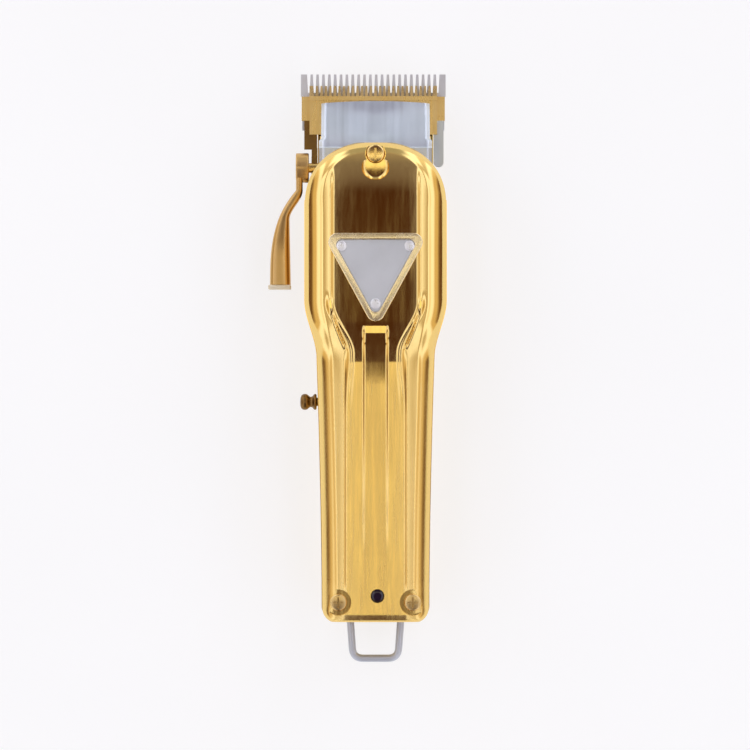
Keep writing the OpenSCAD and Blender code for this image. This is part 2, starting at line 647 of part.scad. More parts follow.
// Quarter bend of the loop's wire about (x, y), starting at angle a
module wire_bend(x, y, bend, a) translate([x, y, loop_pivot[2]]) rotate([0, 0, a])
    rotate_extrude(angle = 90) translate([bend, 0]) circle(r = loop_r);
module hanging_loop() color(steel) {
    bar_y = loop_end_y + loop_r;
    rod_x(end_bend - leg_x, leg_x - end_bend, bar_y, loop_pivot[2], loop_r);
    for (s = [-1, 1]) {
        wire_bend(s * (leg_x - end_bend), bar_y + end_bend, end_bend, s > 0 ? 270 : 180);
        rod_y(bar_y + end_bend, loop_pivot[1] - pivot_bend, s * leg_x, loop_pivot[2], loop_r);
        wire_bend(s * (leg_x + pivot_bend), loop_pivot[1] - pivot_bend, pivot_bend, s > 0 ? 90 : 0);
        rod_x(s > 0 ? leg_x + pivot_bend : -loop_out_x, s > 0 ? loop_out_x : -leg_x - pivot_bend,
            loop_pivot[1], loop_pivot[2], loop_r);
    }
}

base_shell();
lid();
nose_plate();
badge_frame();
badge_plate();
badge_screws();
lid_screw_top();
lid_screws_tail();
indicator_lens();
indicator_led();
circuit_board();
charge_socket();
battery_cell();
battery_cradle();
battery_straps();
motor_can();
motor_end_cap();
motor_bracket();
motor_screws();
motor_sleeve();
motor_leads();
tension_spring();
spring_screws();
lever_pivot_screw();
switch_body();
comb_blade();
comb_carrier();
comb_screws();
carrier_arm();
lever_link();
cutter_blade();
drive_follower();
follower_screws();
taper_lever();
lever_tip();
eccentric_pin();
lever_washer();
motor_shaft();
eccentric_cam();
crank_pin();
switch_knob();
switch_slider();
hanging_loop();
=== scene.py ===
import json
import math

import bmesh
import bpy
from mathutils import Matrix, Vector


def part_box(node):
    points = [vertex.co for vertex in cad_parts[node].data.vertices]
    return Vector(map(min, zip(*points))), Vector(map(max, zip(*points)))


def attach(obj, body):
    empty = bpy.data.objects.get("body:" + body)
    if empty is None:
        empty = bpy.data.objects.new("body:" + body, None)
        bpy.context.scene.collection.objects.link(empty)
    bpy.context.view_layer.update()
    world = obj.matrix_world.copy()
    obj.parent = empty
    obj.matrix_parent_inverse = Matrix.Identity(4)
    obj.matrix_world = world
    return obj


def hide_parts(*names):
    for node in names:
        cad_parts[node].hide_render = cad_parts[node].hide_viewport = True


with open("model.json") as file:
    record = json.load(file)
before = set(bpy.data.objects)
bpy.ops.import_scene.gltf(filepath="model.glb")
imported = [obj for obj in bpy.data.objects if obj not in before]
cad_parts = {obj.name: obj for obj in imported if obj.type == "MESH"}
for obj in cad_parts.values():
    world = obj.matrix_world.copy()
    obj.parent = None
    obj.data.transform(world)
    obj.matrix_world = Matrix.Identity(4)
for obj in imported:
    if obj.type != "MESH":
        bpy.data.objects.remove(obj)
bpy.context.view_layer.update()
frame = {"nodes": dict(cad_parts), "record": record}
MM = 0.001


# ---------------------------------------------------------------- places from the frame
def box_mm(node):
    """Lowest and highest corner of a CAD node, in millimetres."""
    low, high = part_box(node)
    return [c / MM for c in low], [c / MM for c in high]


def centre_mm(node):
    low, high = box_mm(node)
    return [(a + b) / 2 for a, b in zip(low, high)]


def joint_mm(name):
    """Place of a hinge, in millimetres."""
    for joint in frame["record"]["behaviour"]["joints"]:
        if joint["name"] == name:
            return [c / MM for c in joint["pos_m"]]
    raise ValueError(name)


LID_LOW, LID_HIGH = box_mm("lid")
HEAD_HW = LID_HIGH[0] - 0.01
TAIL_Y = LID_LOW[1]
NOSE_Y = LID_HIGH[1]
SPLIT_Z = LID_LOW[2]
WAIST_HW = 18.3
TAIL_HW = 16.7
SHOULDER_Y = 60.0
PLAN_POWER = 2.2
TIP_HW = 3.5
TAIL_CORNER = 4.6
WALL = 2.0

VALLEY_Y = 12.0
DOME_Y = 44.0
VALLEY_RISE = 12.0
VALLEY_Z = 34.6
HEAD_Z = 40.5
HANDLE_RISE = 4.6
PLATEAU_TILT = 0.06
# Downward slope of the head's dome at each Y
DOME_SLOPES = [(44.0, -0.06), (50.5, 0.075), (63.0, 0.135), (70.0, 0.26), (76.0, 0.46), (NOSE_Y, 0.72)]


def clamp01(t):
    return min(1.0, max(0.0, t))


def smooth(t):
    t = clamp01(t)
    return t * t * (3 - 2 * t)


def mix(a, b, t):
    return a + (b - a) * t


def bump(t, half):
    """1 at t = 0, falling smoothly to 0 at t = -half and +half."""
    return 1 - smooth(abs(t) / half)


NOSE_LEN = (NOSE_Y - SHOULDER_Y) / (1 - (TIP_HW / HEAD_HW) ** PLAN_POWER) ** (1 / PLAN_POWER)


def plan_hw(y):
    """Half-width of the housing in plan."""
    if y > SHOULDER_Y:
        rest = max(0.0, 1 - ((y - SHOULDER_Y) / NOSE_LEN) ** PLAN_POWER)
        return HEAD_HW * rest ** (1 / PLAN_POWER)
    if y > 13:
        return mix(WAIST_HW, HEAD_HW, smooth((y - 13) / 18))
    handle = mix(TAIL_HW, WAIST_HW, max(0.0, (y + 62) / 75) ** 1.6)
    if y > TAIL_Y + TAIL_CORNER:
        return handle
    reach = TAIL_Y + TAIL_CORNER - y
    return handle - TAIL_CORNER + math.sqrt(max(0.0, TAIL_CORNER ** 2 - reach ** 2))


def crown(y):
    """Height of the lid along the middle: tail rise, valley at the waist, then a dome to the nose."""
    z = VALLEY_Z + HANDLE_RISE * clamp01((VALLEY_Y - y) / (VALLEY_Y - TAIL_Y)) ** 1.5
    z += (HEAD_Z - VALLEY_Z - PLATEAU_TILT * (DOME_Y - VALLEY_Y)) * smooth((y - VALLEY_Y) / VALLEY_RISE)
    z += PLATEAU_TILT * clamp01((y - VALLEY_Y) / (DOME_Y - VALLEY_Y)) * (DOME_Y - VALLEY_Y)
    for (y0, slope0), (y1, slope1) in zip(DOME_SLOPES, DOME_SLOPES[1:]):
        run = (y1 - y0) * clamp01((y - y0) / (y1 - y0))
        z -= run * slope0 + run ** 2 * (slope1 - slope0) / (2 * (y1 - y0))
    return z


# ---------------------------------------------------------------- mesh helpers
def finish_mesh(name, verts, faces, smooth_deg=35):
    """Object from millimetre points, smooth-shaded up to an angle."""
    mesh = bpy.data.meshes.new(name)
    mesh.from_pydata([Vector(v) * MM for v in verts], [], faces)
    mesh.validate()
    bm = bmesh.new()
    bm.from_mesh(mesh)
    bmesh.ops.recalc_face_normals(bm, faces=bm.faces)
    bm.to_mesh(mesh)
    bm.free()
    obj = bpy.data.objects.new(name, mesh)
    bpy.context.scene.collection.objects.link(obj)
    shade(obj, smooth_deg)
    return obj


def shade(obj, smooth_deg):
    mesh = obj.data
    mesh.polygons.foreach_set("use_smooth", [True] * len(mesh.polygons))
    mesh.set_sharp_from_angle(angle=math.radians(smooth_deg))


def bake_modifiers(obj, smooth_deg=35):
    """Replace the object's mesh by its evaluated mesh and drop its modifiers."""
    graph = bpy.context.evaluated_depsgraph_get()
    mesh = bpy.data.meshes.new_from_object(obj.evaluated_get(graph))
    obj.modifiers.clear()
    old = obj.data
    obj.data = mesh
    bpy.data.meshes.remove(old)
    shade(obj, smooth_deg)
    return obj


def bevel(obj, width, segments=3, angle=30, smooth_deg=35):
    mod = obj.modifiers.new("bevel", "BEVEL")
    mod.width = width * MM
    mod.segments = segments
    mod.limit_method = "ANGLE"
    mod.angle_limit = math.radians(angle)
    mod.use_clamp_overlap = True
    mod.harden_normals = False
    return bake_modifiers(obj, smooth_deg)


def cut(obj, *cutters, smooth_deg=35):
    """Take the cutters away from an object; the cutters are then removed."""
    group = bpy.data.collections.new("cutters")
    for cutter in cutters:
        group.objects.link(cutter)
    mod = obj.modifiers.new("cut", "BOOLEAN")
    mod.operation = "DIFFERENCE"
    mod.solver = "MANIFOLD"
    mod.operand_type = "COLLECTION"
    mod.collection = group
    bake_modifiers(obj, smooth_deg)
    for cutter in cutters:
        bpy.data.objects.remove(cutter)
    bpy.data.collections.remove(group)
    return obj


def join(objs, name):
    """One object holding several meshes."""
    bm = bmesh.new()
    for obj in objs:
        bm.from_mesh(obj.data)
    mesh = bpy.data.meshes.new(name)
    bm.to_mesh(mesh)
    bm.free()
    for obj in objs:
        bpy.data.objects.remove(obj)
    joined = bpy.data.objects.new(name, mesh)
    bpy.context.scene.collection.objects.link(joined)
    return joined


def loft(name, rings, smooth_deg=35, closed=True):
    """Skin through rings of equal length, with flat ends."""
    verts = [p for ring in rings for p in ring]
    count, size = len(rings), len(rings[0])
    faces = []
    for j in range(count - 1):
        for i in range(size if closed else size - 1):
            a, b = j * size + i, j * size + (i + 1) % size
            faces.append((a, b, b + size, a + size))
    faces.append(tuple(range(size)))
    faces.append(tuple((count - 1) * size + i for i in reversed(range(size))))
    return finish_mesh(name, verts, faces, smooth_deg)


def prism(name, outline, low, high, axis="Z", smooth_deg=35):
    """Extruded outline: along Z the outline is (x, y), along X it is (y, z), along Y it is (x, z)."""
    place = {"Z": lambda p, t: (p[0], p[1], t), "X": lambda p, t: (t, p[0], p[1]),
             "Y": lambda p, t: (p[0], t, p[1])}[axis]
    return loft(name, [[place(p, t) for p in outline] for t in (low, high)], smooth_deg)


def revolve(name, profile, origin, axis, segments=64, smooth_deg=35):
    """Turned piece: profile is (radius, distance along axis) from end to end."""
    turn = Vector((0, 0, 1)).rotation_difference(Vector(axis)).to_matrix()
    rings = []
    for radius, along in profile:
        ring = []
        for k in range(segments):
            angle = 2 * math.pi * k / segments
            point = Vector((radius * math.cos(angle), radius * math.sin(angle), along))
            ring.append(tuple(Vector(origin) + turn @ point))
        rings.append(ring)
    return loft(name, rings, smooth_deg)


def rounded(profile, radius, steps=4):
    """Profile with its inner corners rounded."""
    out = [profile[0]]
    for before, at, after in zip(profile, profile[1:], profile[2:]):
        p, a, b = Vector(at), Vector(before), Vector(after)
        reach = min(radius, (a - p).length * 0.45, (b - p).length * 0.45)
        start, end = p + (a - p).normalized() * reach, p + (b - p).normalized() * reach
        for k in range(steps + 1):
            t = k / steps
            out.append(tuple(start * (1 - t) ** 2 + p * 2 * t * (1 - t) + end * t ** 2))
    out.append(profile[-1])
    return out


def round_loop(corners, radius, steps=8):
    """Closed outline with every corner rounded to one radius."""
    out = []
    count = len(corners)
    for k in range(count):
        p = Vector(corners[k])
        a, b = Vector(corners[k - 1]), Vector(corners[(k + 1) % count])
        u, v = (a - p).normalized(), (b - p).normalized()
        half = u.angle(v) / 2
        centre = p + (u + v).normalized() * radius / math.sin(half)
        start = p + u * radius / math.tan(half) - centre
        end = p + v * radius / math.tan(half) - centre
        sweep = math.atan2(start.x * end.y - start.y * end.x, start.dot(end))
        for i in range(steps + 1):
            angle = sweep * i / steps
            c, s = math.cos(angle), math.sin(angle)
            out.append((centre.x + start.x * c - start.y * s, centre.y + start.x * s + start.y * c))
    return out


def tube(name, path, radius, segments=20):
    """Round wire along a path in a plane of constant Z, or along any path without sharp turns."""
    rings = []
    for k, point in enumerate(path):
        p = Vector(point)
        ahead = Vector(path[min(k + 1, len(path) - 1)])
        behind = Vector(path[max(k - 1, 0)])
        u = (ahead - behind).normalized()
        side = u.cross(Vector((0, 0, 1))).normalized()
        up = side.cross(u)
        rings.append([tuple(p + radius * (math.cos(2 * math.pi * i / segments) * side
                                          + math.sin(2 * math.pi * i / segments) * up))
                      for i in range(segments)])
    return loft(name, rings, 50)


# ---------------------------------------------------------------- materials
def new_material(name):
    mat = bpy.data.materials.new(name)
    mat.use_nodes = True
    nodes, links = mat.node_tree.nodes, mat.node_tree.links
    return mat, nodes, links, nodes["Principled BSDF"]


def mapped_noise(nodes, links, stretch, scale, detail=3.0, rough=0.55):
    """Noise in object space, stretched along the axes by stretch."""
    coord = nodes.new("ShaderNodeTexCoord")
    mapping = nodes.new("ShaderNodeMapping")
    mapping.inputs["Scale"].default_value = stretch
    noise = nodes.new("ShaderNodeTexNoise")
    noise.inputs["Scale"].default_value = scale
    noise.inputs["Detail"].default_value = detail
    noise.inputs["Roughness"].default_value = rough
    links.new(coord.outputs["Object"], mapping.inputs["Vector"])
    links.new(mapping.outputs["Vector"], noise.inputs["Vector"])
    return noise.outputs["Fac"]


def ramp_between(nodes, links, value, low, high, from_low=0.3, from_high=0.7):
    ramp = nodes.new("ShaderNodeMapRange")
    ramp.inputs["From Min"].default_value = from_low
    ramp.inputs["From Max"].default_value = from_high
    ramp.inputs["To Min"].default_value = low
    ramp.inputs["To Max"].default_value = high
    links.new(value, ramp.inputs["Value"])
    return ramp.outputs["Result"]


def colour_between(nodes, links, value, first, second, low=0.3, high=0.7):
    ramp = nodes.new("ShaderNodeValToRGB")
    ramp.color_ramp.elements[0].position = low
    ramp.color_ramp.elements[0].color = (*first, 1)
    ramp.color_ramp.elements[1].position = high
    ramp.color_ramp.elements[1].color = (*second, 1)
    links.new(value, ramp.inputs["Fac"])
    return ramp.outputs["Color"]


def surface(name, first, second, metallic, rough_low, rough_high, grain=(1, 1, 1), grain_scale=400,
            bump_strength=0.05, bump_depth=0.02, patch_scale=60, ior=1.45, coat=0.0):
    """General procedural surface: patchy colour, grain-driven roughness and a fine bump."""
    mat, nodes, links, shader = new_material(name)
    patch = mapped_noise(nodes, links, (1, 1, 1), patch_scale, 4)
    fine = mapped_noise(nodes, links, grain, grain_scale, 5, 0.65)
    links.new(colour_between(nodes, links, patch, first, second), shader.inputs["Base Color"])
    links.new(ramp_between(nodes, links, fine, rough_low, rough_high), shader.inputs["Roughness"])
    shader.inputs["Metallic"].default_value = metallic
    shader.inputs["IOR"].default_value = ior
    shader.inputs["Coat Weight"].default_value = coat
    relief = nodes.new("ShaderNodeBump")
    relief.inputs["Strength"].default_value = bump_strength
    relief.inputs["Distance"].default_value = bump_depth * MM
    links.new(fine, relief.inputs["Height"])
    links.new(relief.outputs["Normal"], shader.inputs["Normal"])
    return mat


GOLD_A, GOLD_B = (0.92, 0.66, 0.23), (0.88, 0.61, 0.20)


def shell_gold():
    """Gold plating: mirror-bright on the head, satin with fine lengthwise lines on the handle."""
    mat, nodes, links, shader = new_material("shell_gold")
    coord = nodes.new("ShaderNodeTexCoord")
    split = nodes.new("ShaderNodeSeparateXYZ")
    links.new(coord.outputs["Object"], split.inputs["Vector"])
    lines = mapped_noise(nodes, links, (1, 0.012, 1), 900, 4, 0.6)
    cloud = mapped_noise(nodes, links, (1, 0.35, 1), 45, 3)
    links.new(colour_between(nodes, links, cloud, GOLD_B, GOLD_A), shader.inputs["Base Color"])
    along = ramp_between(nodes, links, split.outputs["Y"], 0.24, 0.11, 0.004, 0.024)
    satin = ramp_between(nodes, links, lines, -0.03, 0.05)
    total = nodes.new("ShaderNodeMath")
    total.operation = "ADD"
    links.new(along, total.inputs[0])
    links.new(satin, total.inputs[1])
    links.new(total.outputs["Value"], shader.inputs["Roughness"])
    shader.inputs["Metallic"].default_value = 1.0
    relief = nodes.new("ShaderNodeBump")
    relief.inputs["Strength"].default_value = 0.03
    relief.inputs["Distance"].default_value = 0.01 * MM
    links.new(lines, relief.inputs["Height"])
    links.new(relief.outputs["Normal"], shader.inputs["Normal"])
    return mat


MATERIALS = {
    "shell_gold": shell_gold(),
    "frame_gold": surface("frame_gold", (0.95, 0.80, 0.50), (0.98, 0.85, 0.58), 1, 0.22, 0.30,
                          bump_depth=0.002),
    "trim_gold": surface("trim_gold", (0.86, 0.58, 0.19), (0.92, 0.66, 0.26), 1, 0.14, 0.24,
                         (1, 0.05, 1), 700),
    "cutter_gold": surface("cutter_gold", (0.80, 0.56, 0.22), (0.88, 0.65, 0.30), 1, 0.22, 0.36,
                           (1, 0.06, 1), 600, 0.12),
    # Gold darkened to brown: painted shade standing in for the dark surroundings that the polished knob and
    # lever link mirror.
    "dark_gold": surface("dark_gold", (0.20, 0.11, 0.035), (0.28, 0.16, 0.05), 1, 0.24, 0.38),
    "lever_gold": surface("lever_gold", (0.62, 0.38, 0.13), (0.72, 0.47, 0.18), 1, 0.26, 0.38,
                          (1, 0.08, 0.3), 500, 0.10),
    "brushed_steel": surface("brushed_steel", (0.60, 0.65, 0.70), (0.74, 0.79, 0.83), 1, 0.30, 0.44,
                             (1, 0.02, 0.02), 900, 0.10, 0.01, 30),
    "blade_steel": surface("blade_steel", (0.60, 0.61, 0.64), (0.70, 0.70, 0.72), 0.55, 0.30, 0.42,
                           (1, 0.04, 1), 700, 0.12),
    "badge_grey": surface("badge_grey", (0.58, 0.60, 0.61), (0.66, 0.68, 0.69), 0.2, 0.36, 0.50,
                          (1, 0.1, 1), 900, 0.06),
    "bright_steel": surface("bright_steel", (0.90, 0.91, 0.92), (0.96, 0.96, 0.97), 0.4, 0.22, 0.32),
    "wire_steel": surface("wire_steel", (0.52, 0.55, 0.60), (0.62, 0.65, 0.70), 0.6, 0.38, 0.50),
    "black_plastic": surface("black_plastic", (0.012, 0.012, 0.013), (0.022, 0.021, 0.02), 0, 0.42, 0.58,
                             (1, 1, 1), 1200, 0.2),
    "dark_lens": surface("dark_lens", (0.012, 0.006, 0.018), (0.02, 0.01, 0.03), 0, 0.12, 0.2, coat=0.5),
    "white_plastic": surface("white_plastic", (0.74, 0.74, 0.70), (0.80, 0.80, 0.77), 0, 0.38, 0.5),
    "ivory": surface("ivory", (0.80, 0.70, 0.48), (0.88, 0.80, 0.60), 0, 0.25, 0.38, coat=0.3),
    "board_green": surface("board_green", (0.015, 0.09, 0.035), (0.02, 0.13, 0.05), 0, 0.25, 0.4, coat=0.4),
    "cell_blue": surface("cell_blue", (0.02, 0.06, 0.16), (0.03, 0.09, 0.22), 0, 0.2, 0.3, coat=0.5),
    "can_nickel": surface("can_nickel", (0.50, 0.50, 0.52), (0.60, 0.60, 0.62), 1, 0.28, 0.42,
                          (0.05, 1, 0.05), 600, 0.1),
    "rubber_black": surface("rubber_black", (0.012, 0.012, 0.012), (0.02, 0.02, 0.02), 0, 0.6, 0.75,
                            (1, 1, 1), 900, 0.3),
    "wire_red": surface("wire_red", (0.35, 0.02, 0.015), (0.45, 0.035, 0.02), 0, 0.35, 0.5),
}


def place(obj, material, body, slot, *nodes):
    """Give a piece its material and body, and let it stand for CAD nodes; the slot argument is not used."""
    obj.data.materials.clear()
    obj.data.materials.append(MATERIALS[material])
    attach(obj, body)
    if nodes:
        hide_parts(*nodes)
    return obj


# ---------------------------------------------------------------- lid
FIELD_HW = 13.3
HANDLE_FIELD_HW = 9.3
BAND_HW = 3.6
BAND_FRONT_Y = 23.0
BAND_RAMP = 2.75
TAB_TILT = 0.035
BAND_END_Y = -48.0
BAND_RISE = 0.5
BAND_FADE = 45.0
CROSS_CROWN = 0.0038
FIELD_DROP = 0.42
FIELD_FALL = 0.055
FIELD_END_Y = 73.0
RIDGE_RISE = 0.5
RIDGE_HW = 1.3
SLIT_DEPTH = 0.75
SLIT_HW = 0.75
HANDLE_DROP = 0.40
HANDLE_FALL = 0.085
SHOULDER_DROP = 3.5
NOSE_DROP = 2.8
SHOULDER_START = 2.3
SHOULDER_END = 1.7
EDGE_DROP = 0.16
LIP_Z = 25.6
LID_SET_IN = 0.35
DISH_BACK = 3.7
DISH_Z = 37.9
DISH_R = 4.4
PAD_Z = 31.0


def edge_distance(x, y):
    """Distance inwards from the housing's outline, roughly, in millimetres."""
    x = abs(x)
    if y > SHOULDER_Y:
        ratio = ((x / HEAD_HW) ** PLAN_POWER + ((y - SHOULDER_Y) / NOSE_LEN) ** PLAN_POWER)
        side = (1 - ratio ** (1 / PLAN_POWER)) * mix(HEAD_HW, NOSE_LEN, clamp01((y - SHOULDER_Y) / NOSE_LEN))
    else:
        side = plan_hw(max(y, TAIL_Y + TAIL_CORNER)) - x
    tail = y - TAIL_Y
    if side < TAIL_CORNER and tail < TAIL_CORNER:
        return TAIL_CORNER - math.hypot(TAIL_CORNER - side, TAIL_CORNER - tail)
    return min(side, tail)


def shoulder_width(y):
    """Width of the rounded shoulder that runs round the lid."""
    width = mix(5.2, 6.2, smooth((y - 8) / 24))
    width = mix(width, 3.4, smooth((y - 58) / 20))
    return width * mix(0.35, 1, smooth((y - TAIL_Y) / 9))


def field_line(y):
    """Half-width of the raised field: wide on the head, pinched into a V at the waist."""
    return mix(6.9, FIELD_HW, smooth((y - 14.5) / 15.5)) + 0.9 * smooth((14.5 - y) / 20)


def step(x, at, width):
    """0 inside a line, 1 outside it."""
    return smooth((x - at + width / 2) / width)


def lid_z(x, y):
    """Height of the lid's outer surface."""
    ax = abs(x)
    inset = max(0.0, edge_distance(x, y))
    width = shoulder_width(y)
    head = smooth((y - 6) / 14)
    z = crown(y) - CROSS_CROWN * ax ** 2
    # Raised head field with a crisp edge, and the V-shaped ridges that run down from it
    outside = step(ax, field_line(y), 1.0)
    nose_fade = smooth((FIELD_END_Y - y) / 9)
    fade = smooth((y + 6) / 16) * nose_fade
    z -= FIELD_DROP * outside * fade
    z -= FIELD_FALL * max(0.0, ax - field_line(y)) ** 1.35 * head * nose_fade
    z += RIDGE_RISE * bump(ax - field_line(y) - 0.9, RIDGE_HW) * fade * smooth((34 - y) / 6)
    # Slits beside the ridges
    slit = 9.1 + 4.3 * clamp01((y - 16) / 10.5)
    z -= SLIT_DEPTH * bump(ax - slit, SLIT_HW) * smooth((y - 15) / 3) * smooth((28 - y) / 3)
    # Handle field and the step around it
    handle = 1 - head
    rim = smooth((y + 60.5) / 5)
    z -= HANDLE_DROP * handle * step(ax, HANDLE_FIELD_HW, 0.9) * rim
    z -= HANDLE_FALL * handle * max(0.0, ax - HANDLE_FIELD_HW) ** 1.4
    # Band along the middle
    band = 1 - step(ax, BAND_HW, 0.7)
    if y < BAND_FRONT_Y:
        tab_y = max(y, BAND_FRONT_Y - BAND_RAMP)
        tab = crown(BAND_FRONT_Y) - crown(tab_y) + TAB_TILT * (BAND_FRONT_Y - tab_y)
        rise = mix(min(BAND_RISE, tab), tab, smooth((y - 4) / 15))
        z += band * rise * clamp01((y - BAND_END_Y) / BAND_FADE)
    # Rounded shoulder
    t = clamp01(1 - inset / width)
    drop = mix(SHOULDER_DROP, NOSE_DROP, smooth((y - 62) / 17))
    curve = 1 - (1 - t ** SHOULDER_START) ** (1 / SHOULDER_END)
    z -= drop * curve + EDGE_DROP * smooth(t / 0.22)
    return z


def lid_rows():
    rows = [TAIL_Y + TAIL_CORNER * (1 - math.cos(math.radians(a))) for a in range(0, 90, 6)]
    rows += [TAIL_Y + TAIL_CORNER + 0.5 * k for k in range(120)]
    rows = [y for y in rows if y < -6]
    rows += [-6 + 0.4 * k for k in range(165)]
    rows += [SHOULDER_Y + (NOSE_Y - SHOULDER_Y) * math.sin(math.radians(a)) for a in range(0, 91, 2)]
    return sorted(set(round(y, 4) for y in rows))


def lid_columns(half=96):
    """Column positions from -1 to 1, closer together towards both edges."""
    out = []
    for k in range(-half, half + 1):
        t = k / half
        out.append(math.copysign(abs(t) * (1.32 - 0.32 * abs(t) ** 3.2), t) if k else 0.0)
    return [c / out[-1] for c in out]


def shell_mesh(name, height, floor_z, outer_gap, inner_gap, inner_height):
    """Closed half shell: outer height field with upright walls, and an inner skin."""
    rows, columns = lid_rows(), lid_columns()
    wide = len(columns)
    verts, faces = [], []

    def add_sheet(place_y, hw_of, z_of):
        start = len(verts)
        for row in rows:
            y = place_y(row)
            hw = hw_of(y)
            for c in columns:
                verts.append((c * hw, y, z_of(c * hw, y)))
        for j in range(len(rows) - 1):
            for i in range(wide - 1):
                a = start + j * wide + i
                faces.append((a, a + 1, a + 1 + wide, a + wide))
        ring = [start + i for i in range(wide)]
        ring += [start + j * wide + wide - 1 for j in range(1, len(rows))]
        ring += [start + (len(rows) - 1) * wide + i for i in range(wide - 2, -1, -1)]
        ring += [start + j * wide for j in range(len(rows) - 2, 0, -1)]
        return ring

    def add_skin(gap, z_of):
        squeeze = (NOSE_Y - TAIL_Y - 2 * gap) / (NOSE_Y - TAIL_Y)
        return add_sheet(lambda y: TAIL_Y + gap + (y - TAIL_Y) * squeeze,
                         lambda y: max(1.0, plan_hw(y) - gap), z_of)

    outer, inner = add_skin(outer_gap, height), add_skin(inner_gap, inner_height)

    def add_wall(ring):
        start = len(verts)
        for index in ring:
            x, y, _ = verts[index]
            verts.append((x, y, floor_z))
        size = len(ring)
        for k in range(size):
            faces.append((ring[k], ring[(k + 1) % size], start + (k + 1) % size, start + k))
        return [start + k for k in range(size)]

    outer_foot, inner_foot = add_wall(outer), add_wall(inner)
    for k in range(len(outer_foot)):
        n = (k + 1) % len(outer_foot)
        faces.append((outer_foot[k], outer_foot[n], inner_foot[n], inner_foot[k]))
    return finish_mesh(name, verts, faces, 60)


def cylinder(name, x, y, low, high, radius, segments=72):
    return revolve(name, [(radius, 0), (radius, high - low)], (x, y, low), (0, 0, 1), segments)


def block(name, low, high):
    corners = [(low[0], low[1]), (high[0], low[1]), (high[0], high[1]), (low[0], high[1])]
    return prism(name, corners, low[2], high[2])


BADGE_CORNERS = [(-16.4, 51.2), (16.4, 51.2), (0.0, 21.2)]
BADGE_CENTRE = (0.0, 41.475)
BADGE_TIP_MOVE, BADGE_TOP_MOVE = 2.085, 1.96


def badge_outline(inset, radius):
    out = []
    for x, y in BADGE_CORNERS:
        away = Vector((x - BADGE_CENTRE[0], y - BADGE_CENTRE[1])).normalized()
        reach = inset * (BADGE_TIP_MOVE if x == 0 else BADGE_TOP_MOVE)
        out.append((x - away.x * reach, y - away.y * reach))
    return round_loop(out, radius)


def bowl(name, x, y, top, radius, depth):
    """Cutter for a round dish with a flat floor and a curved rim."""
    floor = radius * 0.72
    profile = [(0.02, -depth), (floor, -depth)]
    for k in range(1, 9):
        angle = math.radians(90 * k / 8)
        profile.append((floor + (radius - floor) * math.sin(angle), -depth * math.cos(angle)))
    profile += [(radius, 6.0), (0.02, 6.0)]
    return revolve(name, profile, (x, y, top), (0, 0, 1), 64, 40)


def build_lid():
    top_x, top_y, _ = centre_mm("lid_screw_top")

    def under_lid(x, y):
        pad = 1 - smooth((math.hypot(x - top_x, y - top_y + 2) - 7.5) / 1.5)
        return min(mix(lid_z(x, y) - WALL, PAD_Z, pad), lid_z(x, y) - WALL)

    lid = shell_mesh("lid_cover", lid_z, SPLIT_Z, LID_SET_IN, WALL, under_lid)
    top_low = box_mm("lid_screw_top")[1][2]
    lens = centre_mm("indicator_lens")
    tail_low, tail_high = box_mm("lid_screws_tail")
    tail_x = tail_high[0] - 2.6
    tail_y = (tail_low[1] + tail_high[1]) / 2
    cutters = [
        prism("cut_badge", badge_outline(-0.05, 2.85), 39.0, 46.0),
        bowl("cut_dish", top_x, top_y - DISH_BACK, DISH_Z, DISH_R, 1.5),
        cylinder("cut_top", top_x, top_y, top_low - 1.55, 46, 3.2),
        cylinder("cut_lens", lens[0], lens[1], SPLIT_Z - 1, 46, 2.12),
    ]
    for side in (-1, 1):
        cutters.append(cylinder("cut_tail", side * tail_x, tail_y, tail_high[2] - 1.5, 46, 4.0))
    nose_hw = box_mm("nose_plate")[1][0] + 0.3
    cutters.append(block("cut_nose", (-nose_hw, 62, SPLIT_Z - 2), (nose_hw, 90, LIP_Z)))
    cutters.append(block("cut_loop", (-9.5, TAIL_Y - 2, SPLIT_Z - 2), (9.5, TAIL_Y + 2.2, SPLIT_Z + 1.2)))
    cut(lid, *cutters, smooth_deg=50)
    return place(lid, "shell_gold", "housing", "gold_shell", "lid")


# ---------------------------------------------------------------- base
KEEL_Y = 50
KEEL_RISE = 6
BASE_ROUND_WIDTH = 8.5
BASE_ROUND_RISE = 9.0
BASE_ROUND_POWER = 2.2


def keel(y):
    """Rise of the underside towards the nose."""
    return KEEL_RISE * clamp01((y - KEEL_Y) / (NOSE_Y - KEEL_Y)) ** 1.5


def base_z(x, y):
    """Height of the base's outer surface."""
    inset = max(0.0, edge_distance(x, y))
    t = clamp01(1 - inset / BASE_ROUND_WIDTH)
    return keel(y) + BASE_ROUND_RISE * (1 - (1 - t ** BASE_ROUND_POWER) ** (1 / BASE_ROUND_POWER))


